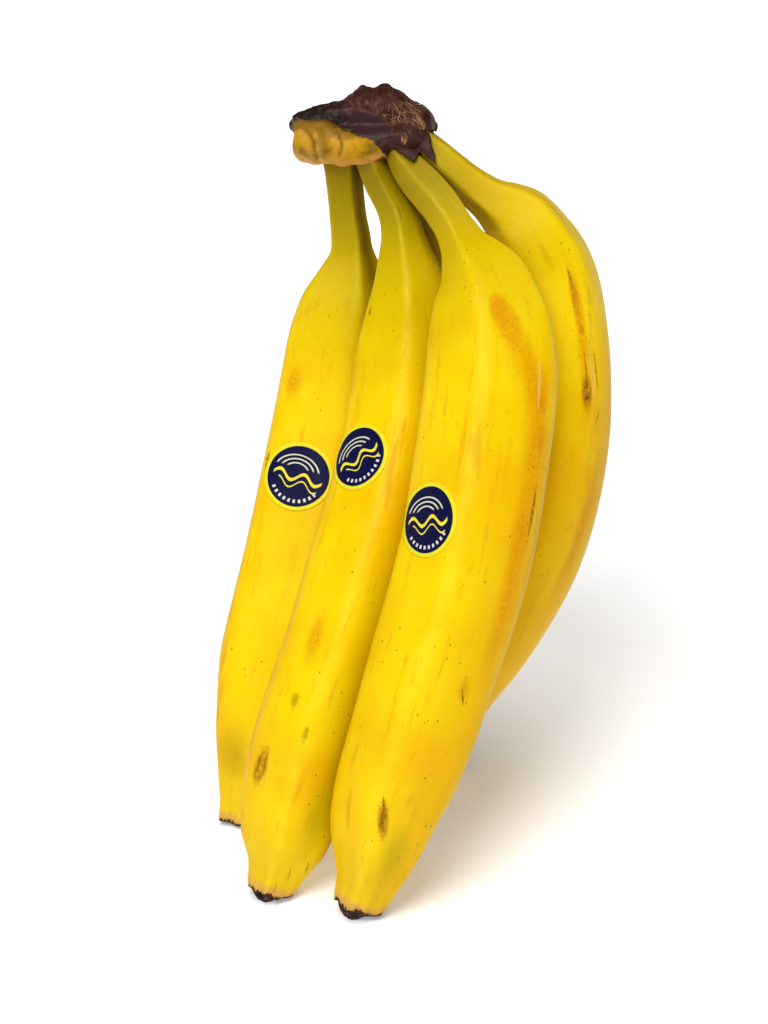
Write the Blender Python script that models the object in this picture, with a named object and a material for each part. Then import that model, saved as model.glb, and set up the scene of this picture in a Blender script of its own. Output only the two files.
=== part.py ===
# A hand of five bananas that stands on its tips, still joined at the crown.
# The hand is drawn in a leaning frame, in millimetres: across to the right, up along the lean, and back.
# It is then tilted back and stood on the floor, in metres, with +Z up and the origin under its middle.
import math

import bmesh
import bpy
import numpy as np

MM = 0.001
LEAN = math.radians(25)  # how far the hand leans back from upright
MIDDLE = (-8.75, -15.34, 108.0)  # where the leaning frame's zero stands above the floor
GAP = 0.35  # clear space between two pieces that touch on the real hand

# Each finger: the points its middle line runs through, from the crown to the tip, then pairs of a
# share along it and the radius there, and the directions of its five flat sides in degrees, 0 facing
# the front and 90 facing right.
FINGERS = {
    1: {
        "path": [(-13.5, 110.5, 24), (-12, 99.5, 27), (-11, 88.5, 30), (-10, 80.5, 33), (-11, 67, 38),
                 (-14, 40, 44), (-19.5, 9.5, 44), (-26.5, -20.5, 41), (-33, -44.5, 40),
                 (-38.5, -67.5, 43), (-42, -81, 48), (-44, -91, 52)],
        "radius": [(0, 6.4), (0.08, 5.7), (0.15, 6.3), (0.19, 9.8), (0.23, 13.8), (0.29, 16.6),
                   (0.4, 17.8), (0.55, 18.2), (0.75, 17.2), (0.86, 13.6), (0.93, 9.6), (0.97, 7.4),
                   (1, 6.2)],
        "sides": (-5, 70, 142, 210, -90),
    },
    2: {
        "path": [(-4.5, 110, 20), (0, 97.5, 21), (4.5, 87.5, 20), (6.5, 77.5, 19), (8.5, 62.5, 18),
                 (8.5, 39, 17), (4, 9.5, 13), (-4, -17, 9), (-12.5, -43.5, 8), (-21, -66.5, 9),
                 (-26, -84.5, 11), (-29.5, -99, 12), (-32.5, -109, 13)],
        "radius": [(0, 6.4), (0.08, 5.7), (0.13, 6.6), (0.18, 9.6), (0.23, 13.4), (0.32, 17.4),
                   (0.45, 18.5), (0.65, 18.2), (0.8, 17.3), (0.89, 15.7), (0.94, 13.3), (0.975, 9.6),
                   (1, 7.2)],
        "sides": (-45, 29, 99, 173, 243),
    },
    3: {
        "path": [(2.5, 109, 20), (8, 101, 16.5), (14, 93.5, 13), (19.5, 85.5, 9), (24, 76.5, 4),
                 (28.5, 67, -1), (31, 54, -5), (31.5, 39.5, -9), (29.5, 20.5, -11), (26, -2.5, -12),
                 (20.5, -25, -11), (13, -48.5, -9), (6, -70, -6), (0, -87.5, -3), (-3, -101, 0),
                 (-6.5, -112, 3)],
        "radius": [(0, 6.4), (0.07, 6.2), (0.13, 6.0), (0.165, 6.8), (0.2, 10.2), (0.24, 14.4),
                   (0.3, 17.8), (0.38, 19.2), (0.6, 19.4), (0.75, 19.1), (0.83, 18.0), (0.9, 15.4),
                   (0.96, 10.9), (1, 7.4)],
        "sides": (-48, 24, 97, 168, 238),
    },
    4: {
        "path": [(9, 109, 20), (16.5, 103.5, 18), (24, 97.5, 17), (32, 91.6, 17), (39, 86.3, 17.5),
                 (43.5, 79.5, 18), (47, 73, 20), (50, 55.5, 22), (50.5, 33, 23), (48.5, 12.5, 24),
                 (44, -5.5, 26), (37, -22, 28), (29.5, -36, 30), (22, -49, 32), (17, -64, 36),
                 (14.5, -77.5, 41)],
        "radius": [(0, 6.4), (0.08, 5.9), (0.125, 6.8), (0.15, 8.8), (0.18, 11.8), (0.21, 13.4),
                   (0.26, 15.2), (0.32, 16.6), (0.4, 17.5), (0.5, 18.0), (0.65, 18.0), (0.8, 16.0),
                   (0.9, 12.5), (0.96, 9.0), (1, 7.0)],
        "sides": (5, 77, 147, 221, -67),
    },
    5: {
        "path": [(4, 111.5, 32), (7, 104, 33), (11, 92.5, 37), (14, 79, 43), (17, 61.5, 50),
                 (19, 34, 54), (18.5, 3.5, 57), (17.5, -27, 63), (18.5, -56, 73), (19.5, -76.5, 84)],
        "radius": [(0, 6.2), (0.14, 6.2), (0.2, 8.0), (0.27, 12.4), (0.36, 16.2), (0.5, 17.6),
                   (0.7, 17.2), (0.83, 14.7), (0.92, 10.7), (1, 7.0)],
        "sides": (30, 102, 174, 246, -42),
    },
}
# How angular the section is, along a finger; higher is more angular.
RIDGE_SHARPNESS = [(0, 14), (0.25, 13), (0.5, 10), (0.8, 10), (1, 12)]
SECTION_MEAN = 1.06  # mean reach of a five-sided section whose flat sides lie at 1
RINGS = 38
SIDES = 20
LINE_SAMPLES = 160

# The crown is a smooth union of lumps: (middle, half sizes), in the leaning frame.
CROWN_MIDDLE = np.array((-3.5, 112.0, 24.0))
CROWN_LUMPS = [
    ((-24.3, 108.8, 22), (3.8, 5.4, 6.5)),
    ((-17.4, 108.6, 19), (5.8, 6.0, 8.0)),
    ((-6.4, 107.6, 17.5), (7.6, 5.9, 8.5)),
    ((-21, 114.5, 23), (6.5, 4.4, 8.0)),
    ((-14, 116, 25), (8.5, 5.6, 11.0)),
    ((-5.5, 118.3, 26), (8.3, 8.6, 12.5)),
    ((1, 118.5, 25), (8.3, 8.8, 13.0)),
    ((9, 113.5, 23), (6.0, 7.3, 10.0)),
    ((4, 108, 19.5), (9.5, 6.0, 10.8)),
    ((3, 109.5, 32.5), (10.5, 7.3, 8.5)),
]
LUMP_HARDNESS = 3.2  # higher keeps the lumps more apart
CROWN_REACH = 32.0

TIP_STANDS = {1: True, 2: True, 3: True, 4: False, 5: True}  # finger 4 hangs clear of the floor
TIP_RIM = 0.9  # the dried tip's first ring as a share of the finger's end
TIP_FOOT = 4.6  # radius of the flat spot a tip stands on
TIP_HANG = 5.0  # length of a dried tip that stands on nothing
TIP_SIDES = 14

# Stickers: finger, share along its middle line, direction round it in degrees.
STICKERS = [(1, 0.505, -22), (2, 0.445, -47), (3, 0.53, -49)]
STICKER_RADIUS = 10.9
STICKER_THICK = 0.4
STICKER_RINGS = 4
STICKER_SIDES = 28


def natural_spline(points, count):
    """The smooth curve through the points, as count places evenly spaced along it."""
    p = np.array(points, float)
    t = np.concatenate([[0], np.cumsum(np.linalg.norm(np.diff(p, axis=0), axis=1))])
    h = np.diff(t)
    m = len(p)
    system = np.eye(m)
    right = np.zeros_like(p)
    for i in range(1, m - 1):
        system[i, i - 1:i + 2] = h[i - 1], 2 * (h[i - 1] + h[i]), h[i]
        right[i] = 6 * ((p[i + 1] - p[i]) / h[i] - (p[i] - p[i - 1]) / h[i - 1])
    bend = np.linalg.solve(system, right)

    def at(x):
        i = np.clip(np.searchsorted(t, x, side="right") - 1, 0, m - 2)
        before, after, step = (x - t[i])[:, None], (t[i + 1] - x)[:, None], h[i][:, None]
        curved = (bend[i] * after ** 3 + bend[i + 1] * before ** 3) / (6 * step)
        return (curved + (p[i] / step - bend[i] * step / 6) * after
                + (p[i + 1] / step - bend[i + 1] * step / 6) * before)

    fine_t = np.linspace(0, t[-1], 6 * count)
    fine = at(fine_t)
    run = np.concatenate([[0], np.cumsum(np.linalg.norm(np.diff(fine, axis=0), axis=1))])
    return at(np.interp(np.linspace(0, run[-1], count), run, fine_t))


def smooth_keys(x, keys):
    """A curve through (x, y) keys that never overshoots them."""
    kx, ky = np.array(keys, float).T
    step = np.diff(kx)
    rise = np.diff(ky) / step
    slope = np.concatenate([[rise[0]], np.zeros(len(kx) - 2), [rise[-1]]])
    for i in range(1, len(kx) - 1):
        if rise[i - 1] * rise[i] > 0:
            slope[i] = 2 * rise[i - 1] * rise[i] / (rise[i - 1] + rise[i])
    i = np.clip(np.searchsorted(kx, x, side="right") - 1, 0, len(kx) - 2)
    u = (x - kx[i]) / step[i]
    return (ky[i] * (1 + 2 * u) * (1 - u) ** 2 + slope[i] * step[i] * u * (1 - u) ** 2
            + ky[i + 1] * u * u * (3 - 2 * u) + slope[i + 1] * step[i] * u * u * (u - 1))


def unit(v):
    return v / np.linalg.norm(v, axis=-1, keepdims=True)


def stand(points):
    """From the leaning frame, in millimetres, to the standing hand, in metres."""
    across, up, back = np.moveaxis(np.asarray(points, float), -1, 0)
    y = MIDDLE[1] + up * math.sin(LEAN) + back * math.cos(LEAN)
    z = MIDDLE[2] + up * math.cos(LEAN) - back * math.sin(LEAN)
    return np.stack([MIDDLE[0] + across, y, z], axis=-1) * MM


class Finger:
    """One banana: a middle line, radii along it and a five-sided section, pressed by neighbours."""

    def __init__(self, number):
        spec = FINGERS[number]
        self.number = number
        self.sides = np.radians(spec["sides"])
        self.along = np.linspace(0, 1, LINE_SAMPLES)
        self.line = natural_spline(spec["path"], LINE_SAMPLES)
        self.radius = smooth_keys(self.along, spec["radius"])
        self.tangent = unit(np.gradient(self.line, axis=0))
        front = np.array([0.0, 0.0, -1.0])
        self.front = unit(front - (self.tangent @ front)[:, None] * self.tangent)
        self.right = np.cross(self.tangent, self.front)
        self.neighbours = []

    def at(self, share, values):
        return np.stack([np.interp(share, self.along, column) for column in values.T], axis=-1)

    def nearness(self, points):
        """Distance to the middle line as a share of the radius there."""
        away = np.linalg.norm(points[..., None, :] - self.line, axis=-1)
        return np.min(away / self.radius, axis=-1)

    def free_reach(self, middle, way, most):
        """How far a point may go from the middle line before a neighbour is nearer than this finger."""
        low, high = np.zeros_like(most), most.copy()
        for _ in range(14):
            mid = (low + high) / 2
            points = middle + way * mid[..., None]
            room = GAP / 2 / most
            free = np.all([self.nearness(points) + room < n.nearness(points) - room
                           for n in self.neighbours], axis=0)
            low, high = np.where(free, mid, low), np.where(free, high, mid)
        return low

    def surface(self, share, angle):
        """Skin points at shares along the finger and angles round it, both of one shape."""
        sharpness = smooth_keys(share, RIDGE_SHARPNESS)
        facing = np.maximum(np.cos(angle[..., None] - self.sides), 0)
        reach = np.sum(facing ** sharpness[..., None], axis=-1) ** (-1 / sharpness) / SECTION_MEAN
        reach = reach * np.interp(share, self.along, self.radius)
        middle = self.at(share, self.line)
        way = (np.cos(angle)[..., None] * self.at(share, self.front)
               + np.sin(angle)[..., None] * self.at(share, self.right))
        free = np.maximum(self.free_reach(middle, way, reach * 1.5), 0.5)
        pressed = (reach ** -10.0 + free ** -10.0) ** (-1 / 10)
        return middle + way * pressed[..., None]

    def outward(self, share, angle):
        """The skin's own normal at shares along the finger and angles round it."""
        small = 0.004
        along = self.surface(share + small, angle) - self.surface(share - small, angle)
        around = self.surface(share, angle + 4 * small) - self.surface(share, angle - 4 * small)
        return unit(np.cross(around, along))

    def patch(self, share, angle, along, around):
        """Shares and angles of places at given distances along the skin and round it from one place."""
        turn = np.linspace(-1.4, 1.4, 141)
        ring = self.surface(np.full(len(turn), share), angle + turn)
        run = np.concatenate([[0], np.cumsum(np.linalg.norm(np.diff(ring, axis=0), axis=1))])
        run -= run[len(turn) // 2]
        length = np.sum(np.linalg.norm(np.diff(self.line, axis=0), axis=1))
        return share + along / length, angle + np.interp(around, run, turn)


def make_fingers():
    fingers = {number: Finger(number) for number in FINGERS}
    for finger in fingers.values():
        finger.neighbours = [other for other in fingers.values() if other is not finger]
    return fingers


def ring_shares(count):
    """Shares along a finger, closer together at the neck and the tip."""
    u = np.linspace(0, 1, count)
    return u - 0.07 * np.sin(2 * math.pi * u)


def loft(rings):
    """Vertices and faces of a closed body through rings of equal count, with flat ends."""
    count, sides = rings.shape[:2]
    faces = [tuple(range(sides))]
    for i in range(count - 1):
        for j in range(sides):
            k = (j + 1) % sides
            faces.append((i * sides + j, (i + 1) * sides + j, (i + 1) * sides + k, i * sides + k))
    faces.append(tuple(reversed(range((count - 1) * sides, count * sides))))
    return rings.reshape(-1, 3), faces


def make_material(name, colour, roughness):
    material = bpy.data.materials.new(name)
    material.use_nodes = True
    shader = material.node_tree.nodes["Principled BSDF"]
    shader.inputs["Base Color"].default_value = (*colour, 1)
    shader.inputs["Roughness"].default_value = roughness
    material.diffuse_color = (*colour, 1)
    return material


def make_object(name, points, faces, material):
    mesh = bpy.data.meshes.new(name)
    mesh.from_pydata([tuple(map(float, p)) for p in points], [], faces)
    bm = bmesh.new()
    bm.from_mesh(mesh)
    bmesh.ops.recalc_face_normals(bm, faces=bm.faces[:])
    bm.to_mesh(mesh)
    bm.free()
    mesh.materials.append(material)
    mesh.shade_smooth()
    mesh.set_sharp_from_angle(angle=math.radians(50))
    thing = bpy.data.objects.new(name, mesh)
    bpy.context.scene.collection.objects.link(thing)
    return thing


def crown_field(points):
    """Over 1 inside the crown, under 1 outside."""
    total = np.zeros(points.shape[:-1])
    for middle, half in CROWN_LUMPS:
        away = np.sum(((points - middle) / half) ** 2, axis=-1)
        total += np.exp(-LUMP_HARDNESS * (away - 1))
    return total


def crown_surface(ways):
    """The furthest crown point along each way from the crown's middle."""
    steps = np.linspace(0, CROWN_REACH, 161)
    inside = crown_field(CROWN_MIDDLE + ways[:, None, :] * steps[None, :, None]) > 1
    last = len(steps) - 1 - np.argmax(inside[:, ::-1], axis=1)
    low, high = steps[last], steps[last] + steps[1]
    for _ in range(12):
        mid = (low + high) / 2
        within = crown_field(CROWN_MIDDLE + ways * mid[:, None]) > 1
        low, high = np.where(within, mid, low), np.where(within, high, mid)
    return low


def make_crown(material, name, grow):
    bm = bmesh.new()
    bmesh.ops.create_icosphere(bm, subdivisions=4, radius=1)
    ways = unit(np.array([v.co[:] for v in bm.verts]))
    faces = [tuple(v.index for v in f.verts) for f in bm.faces]
    bm.free()
    points = CROWN_MIDDLE + ways * (crown_surface(ways) + grow)[:, None]
    return make_object(name, stand(points), faces, material)


def cut_away(thing, cutter):
    """Take the crown's space, and a little more, out of a finger's neck."""
    cut = thing.modifiers.new("crown", "BOOLEAN")
    cut.operation = "DIFFERENCE"
    cut.solver = "EXACT"
    cut.object = cutter


def make_banana(finger, material, cutter):
    first_ridge = (finger.sides[0] + finger.sides[1]) / 2
    angle = first_ridge + np.linspace(0, 2 * math.pi, SIDES, endpoint=False)
    share, angle = np.meshgrid(ring_shares(RINGS), angle, indexing="ij")
    points, faces = loft(finger.surface(share, angle))
    banana = make_object(f"banana_{finger.number}", stand(points), faces, material)
    cut_away(banana, cutter)
    return banana


def make_tip(finger, material):
    """The dried flower remains: a dark stub, with a flat spot where it stands on the floor."""
    angle = np.linspace(0, 2 * math.pi, TIP_SIDES, endpoint=False)
    rim = finger.surface(np.ones(TIP_SIDES), angle)
    middle, tangent = finger.line[-1], finger.tangent[-1]
    top = stand(middle + (rim - middle) * TIP_RIM + tangent * GAP)
    drop = stand(middle + tangent) - stand(middle)
    ragged = 1 + 0.1 * np.sin(3 * angle + finger.number) + 0.06 * np.sin(5 * angle)
    spread = top - top.mean(axis=0)
    reach = np.linalg.norm(spread, axis=1, keepdims=True)
    foot = top.mean(axis=0) + spread / reach * (TIP_FOOT * MM * ragged)[:, None]
    if TIP_STANDS[finger.number]:
        fall = foot[:, 2:3] / -drop[2]
        foot = foot + drop * fall
        foot[:, 2] = 0
    else:
        foot = foot + drop * TIP_HANG
    waist = (0.42 * top + 0.58 * foot)
    waist = waist.mean(axis=0) + (waist - waist.mean(axis=0)) * 1.12
    points, faces = loft(np.stack([top, waist, foot]))
    return make_object(f"blossom_end_{finger.number}", points, faces, material)


def make_sticker(number, finger, share, degrees, material):
    """A thin disc wrapped round the skin, as far from its middle along the skin as on the flat label."""
    turn = np.linspace(0, 2 * math.pi, STICKER_SIDES, endpoint=False)
    out = STICKER_RADIUS * np.arange(1, STICKER_RINGS + 1) / STICKER_RINGS
    along = np.concatenate([[0], (out[:, None] * np.cos(turn)).ravel()])
    around = np.concatenate([[0], (out[:, None] * np.sin(turn)).ravel()])
    shares, angles = finger.patch(share, math.radians(degrees), along, around)
    skin, outward = finger.surface(shares, angles), finger.outward(shares, angles)
    under = skin + outward * GAP
    over = skin + outward * (GAP + STICKER_THICK)
    count = len(skin)
    faces = []
    for base in (0, count):
        for k in range(STICKER_SIDES):
            j = (k + 1) % STICKER_SIDES
            faces.append((base, base + 1 + k, base + 1 + j))
            for ring in range(STICKER_RINGS - 1):
                a = base + 1 + ring * STICKER_SIDES
                b = a + STICKER_SIDES
                faces.append((a + k, b + k, b + j, a + j))
    rim = 1 + (STICKER_RINGS - 1) * STICKER_SIDES
    for k in range(STICKER_SIDES):
        j = (k + 1) % STICKER_SIDES
        faces.append((rim + k, rim + j, count + rim + j, count + rim + k))
    return make_object(f"sticker_{number}", stand(np.concatenate([under, over])), faces, material)


def main():
    for thing in list(bpy.data.objects):
        bpy.data.objects.remove(thing)
    skin = make_material("banana skin", (0.86, 0.62, 0.02), 0.42)
    stem = make_material("crown", (0.12, 0.05, 0.02), 0.7)
    dried = make_material("dried tip", (0.05, 0.025, 0.015), 0.85)
    label = make_material("sticker", (0.01, 0.01, 0.1), 0.35)

    make_crown(stem, "crown", 0)
    cutter = make_crown(stem, "crown_cutter", GAP)
    cutter.hide_render = True
    cutter.display_type = "WIRE"

    fingers = make_fingers()
    for finger in fingers.values():
        make_banana(finger, skin, cutter)
        make_tip(finger, dried)
    for number, (owner, share, degrees) in enumerate(STICKERS, start=1):
        make_sticker(number, fingers[owner], share, degrees, label)


main()
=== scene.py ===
# %% [markdown]
# # A hand of bananas that stands on its tips
# Five bananas grow from one cut crown. This lesson dresses the plain solid model of that hand: fine skin
# with ridges and marks, a torn and dried crown, dried blossom ends and round stickers.
# The first step loads the solids. They are a fixed frame: nothing in it is moved, and each piece below
# stands for one of its nodes or lies on one.

# %% Load the solid model
import math
from functools import reduce

import bmesh
import bpy
import numpy as np
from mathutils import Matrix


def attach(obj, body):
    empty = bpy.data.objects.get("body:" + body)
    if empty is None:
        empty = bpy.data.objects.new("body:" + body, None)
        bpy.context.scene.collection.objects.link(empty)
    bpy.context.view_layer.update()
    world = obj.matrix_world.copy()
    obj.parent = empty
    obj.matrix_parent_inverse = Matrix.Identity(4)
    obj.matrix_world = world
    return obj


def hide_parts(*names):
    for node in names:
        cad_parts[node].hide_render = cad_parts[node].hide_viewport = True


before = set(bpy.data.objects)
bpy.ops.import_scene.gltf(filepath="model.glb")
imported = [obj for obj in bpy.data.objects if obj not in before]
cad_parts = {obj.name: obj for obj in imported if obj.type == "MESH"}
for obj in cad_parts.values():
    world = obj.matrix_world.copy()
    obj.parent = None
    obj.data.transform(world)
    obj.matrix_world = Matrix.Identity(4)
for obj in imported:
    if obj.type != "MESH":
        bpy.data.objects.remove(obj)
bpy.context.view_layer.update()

# %% [markdown]
# ## The leaning frame
# The hand leans back by the angle from which it is seen. So it is easiest to draw in a leaning frame, in
# millimetres: across to the right, up along the lean, and back. One function stands it up on the floor.

# %% The leaning frame and the camera
MM = 0.001
LEAN = math.radians(25)
MIDDLE = np.array((-8.75, -15.34, 108.0))
VIEW_DISTANCE = 1000
MM_PER_PIXEL = 0.29
PICTURE_HEIGHT = 1024
SENSOR_HEIGHT = 36


def stand(points):
    """From the leaning frame, in millimetres, to the standing hand, in metres."""
    across, up, back = np.moveaxis(np.asarray(points, float), -1, 0)
    y = MIDDLE[1] + up * math.sin(LEAN) + back * math.cos(LEAN)
    z = MIDDLE[2] + up * math.cos(LEAN) - back * math.sin(LEAN)
    return np.stack([MIDDLE[0] + across, y, z], axis=-1) * MM


def floor_height(points):
    """Height above the floor, in millimetres, of points in the leaning frame."""
    return stand(points)[..., 2] / MM


scene = bpy.context.scene
camera = bpy.data.objects.new("camera", bpy.data.cameras.new("camera"))
camera.data.sensor_fit = "VERTICAL"
camera.data.sensor_height = SENSOR_HEIGHT
camera.data.lens = SENSOR_HEIGHT * VIEW_DISTANCE / MM_PER_PIXEL / PICTURE_HEIGHT
camera.location = stand((0, 0, -VIEW_DISTANCE))
camera.rotation_euler = (math.pi / 2 - LEAN, 0, 0)
scene.collection.objects.link(camera)
scene.camera = camera
print("lens in mm", round(camera.data.lens, 1))

# %% [markdown]
# ## Numbers that vary over a surface
# A finish is a small sum: yellow, plus some green at the neck, plus brown in the scars. Blender writes such
# sums as nodes. One class below wraps a socket, so that the sums can be written in Python instead. The
# other holds a material and adds its nodes.

# %% The wire and the finish
def colour(code):
    """A colour of the screen, such as FFD91A, as the linear values that nodes take."""
    parts = [int(code[i:i + 2], 16) / 255 for i in (0, 2, 4)]
    linear = [p / 12.92 if p <= 0.04045 else ((p + 0.055) / 1.055) ** 2.4 for p in parts]
    return (*linear, 1)


def two_sided(operation):
    """A method that joins a wire and a number, or two wires."""
    return lambda wire, other: wire.finish.maths(operation, wire, other)


class Wire:
    """What comes out of a node. Numbers take Python's own operators."""

    def __init__(self, finish, socket):
        self.finish = finish
        self.socket = socket

    __add__ = __radd__ = two_sided("ADD")
    __sub__ = two_sided("SUBTRACT")
    __mul__ = __rmul__ = two_sided("MULTIPLY")
    __truediv__ = two_sided("DIVIDE")
    __pow__ = two_sided("POWER")
    most = two_sided("MAXIMUM")
    turn_from = two_sided("ARCTAN2")

    def __rsub__(self, other):
        return self.finish.maths("SUBTRACT", other, self)

    def wave(self, operation):
        return self.finish.maths(operation, self)

    def size(self):
        return self.finish.maths("ABSOLUTE", self)

    def ease(self, start, end):
        """0 at start and 1 at end, with a smooth step between; start may be the larger one."""
        low, high = min(start, end), max(start, end)
        first, last = (0, 1) if start < end else (1, 0)
        return self.finish.node("MapRange", {"interpolation_type": "SMOOTHSTEP"}, {
            "Value": self, "From Min": low, "From Max": high, "To Min": first, "To Max": last})


class Finish:
    """A material and the nodes that make it."""

    def __init__(self, name, roughness, **constants):
        self.material = bpy.data.materials.new(name)
        self.material.use_nodes = True
        self.tree = self.material.node_tree
        self.surface = self.tree.nodes["Principled BSDF"]
        self.surface.inputs["Roughness"].default_value = roughness
        for socket, value in constants.items():
            self.surface.inputs[socket.replace("_", " ")].default_value = value

    def join(self, value, socket):
        if isinstance(value, Wire):
            self.tree.links.new(value.socket, socket)
        else:
            socket.default_value = value

    def node(self, kind, settings=None, sockets=None, output=0):
        """Any node: its settings are set first, then its sockets get values or links."""
        made = self.tree.nodes.new("ShaderNode" + kind)
        for name, value in (settings or {}).items():
            setattr(made, name, value)
        for name, value in (sockets or {}).items():
            self.join(value, made.inputs[name])
        return Wire(self, made.outputs[output])

    def maths(self, operation, *values):
        return self.node("Math", {"operation": operation}, dict(enumerate(values)))

    def attribute(self, name, vector=False):
        return self.node("Attribute", {"attribute_name": name}, output=1 if vector else 2)

    def parts(self, vector):
        split = self.node("SeparateXYZ", sockets={0: vector})
        return [Wire(self, output) for output in split.socket.node.outputs]

    def stretch(self, vector, scales):
        return self.node("VectorMath", {"operation": "MULTIPLY"}, {0: vector, 1: scales})

    def noise(self, vector, scale, detail=3, roughness=0.55):
        return self.node("TexNoise", sockets={
            "Vector": vector, "Scale": scale, "Detail": detail, "Roughness": roughness})

    def cells(self, vector, scale):
        return self.node("TexVoronoi", sockets={"Vector": vector, "Scale": scale})

    def mix(self, under, over, mask):
        """Colours: under where mask is 0, over where it is 1."""
        return self.node("Mix", {"data_type": "RGBA"}, {0: mask, 6: under, 7: over}, output=2)

    def paint(self, under, *coats):
        """Coats of colour over one another, each a code and the mask where it lies."""
        for code, mask in coats:
            under = self.mix(under, colour(code), mask)
        return under

    def feed(self, socket, value):
        self.join(value, self.surface.inputs[socket])

    def bump(self, height, depth, strength=1.0):
        """Height from 0 to 1 stands for depth in millimetres."""
        self.feed("Normal", self.node("Bump", sockets={
            "Height": height, "Distance": depth * MM, "Strength": strength}))


print("a yellow, linear:", [round(c, 3) for c in colour("FFD91A")])

# %% [markdown]
# ## Curves and uneven fields
# A banana's middle line and thickness are smooth curves through a few chosen values. Uneven relief comes
# from a field of overlapping waves with seeded directions, so each run gives the same lumps. Sculpting
# could do both, but plain formulas can be measured and changed.

# %% Curve and relief helpers
FINE_STEPS = 6  # steps for each place, while a curve's length is measured
WAVES = 14


def run_along(points):
    """Distance along a line of points, from its first one to each."""
    return np.concatenate([[0], np.cumsum(np.linalg.norm(np.diff(points, axis=0), axis=1))])


def natural_spline(points, count):
    """The smooth curve through the points, as count places evenly spaced along it."""
    p = np.array(points, float)
    t = run_along(p)
    h = np.diff(t)
    m = len(p)
    system = np.eye(m)
    right = np.zeros_like(p)
    for i in range(1, m - 1):
        system[i, i - 1:i + 2] = h[i - 1], 2 * (h[i - 1] + h[i]), h[i]
        right[i] = 6 * ((p[i + 1] - p[i]) / h[i] - (p[i] - p[i - 1]) / h[i - 1])
    bend = np.linalg.solve(system, right)

    def at(x):
        i = np.clip(np.searchsorted(t, x, side="right") - 1, 0, m - 2)
        before, after, step = (x - t[i])[:, None], (t[i + 1] - x)[:, None], h[i][:, None]
        curved = (bend[i] * after ** 3 + bend[i + 1] * before ** 3) / (6 * step)
        return (curved + (p[i] / step - bend[i] * step / 6) * after
                + (p[i + 1] / step - bend[i + 1] * step / 6) * before)

    fine_t = np.linspace(0, t[-1], FINE_STEPS * count)
    fine = at(fine_t)
    run = run_along(fine)
    return at(np.interp(np.linspace(0, run[-1], count), run, fine_t))


def smooth_keys(x, keys):
    """A curve through (x, y) keys that never overshoots them."""
    kx, ky = np.array(keys, float).T
    step = np.diff(kx)
    rise = np.diff(ky) / step
    slope = np.concatenate([[rise[0]], np.zeros(len(kx) - 2), [rise[-1]]])
    for i in range(1, len(kx) - 1):
        if rise[i - 1] * rise[i] > 0:
            slope[i] = 2 * rise[i - 1] * rise[i] / (rise[i - 1] + rise[i])
    i = np.clip(np.searchsorted(kx, x, side="right") - 1, 0, len(kx) - 2)
    u = np.clip((x - kx[i]) / step[i], 0, 1)
    return (ky[i] * (1 + 2 * u) * (1 - u) ** 2 + slope[i] * step[i] * u * (1 - u) ** 2
            + ky[i + 1] * u * u * (3 - 2 * u) + slope[i + 1] * step[i] * u * u * (u - 1))


def unit(v):
    return v / np.linalg.norm(v, axis=-1, keepdims=True)


def ease(x, start, end):
    """0 at start and 1 at end, smooth between."""
    u = np.clip((x - start) / (end - start), 0, 1)
    return u * u * (3 - 2 * u)


def uneven(points, size, seed):
    """A smooth uneven field, mostly between -1 and 1, with lumps about half of size across."""
    chance = np.random.default_rng(seed)
    ways = unit(chance.normal(size=(WAVES, 3)))
    pace = 2 * math.pi / (size * chance.uniform(0.7, 1.5, WAVES))
    start = chance.uniform(0, 2 * math.pi, WAVES)
    return np.sin((points @ ways.T) * pace + start).sum(axis=-1) / math.sqrt(2 * WAVES)


def creased(points, size, seed):
    """Sharp valleys between rounded swells, from 0 in a valley up to about 1."""
    return np.minimum(np.abs(uneven(points, size, seed)) * 1.6, 1)


trial = np.random.default_rng(1).normal(size=(500, 3)) * 50
print("a field's spread:", round(float(uneven(trial, 9, 2).std()), 2))

# %% [markdown]
# ## The five bananas as numbers
# Each banana is a middle line from the crown to the tip, a thickness along it, and a section with five
# rather flat sides, as a banana's peel has. Where two bananas lean on each other, both are pressed flat.

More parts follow.
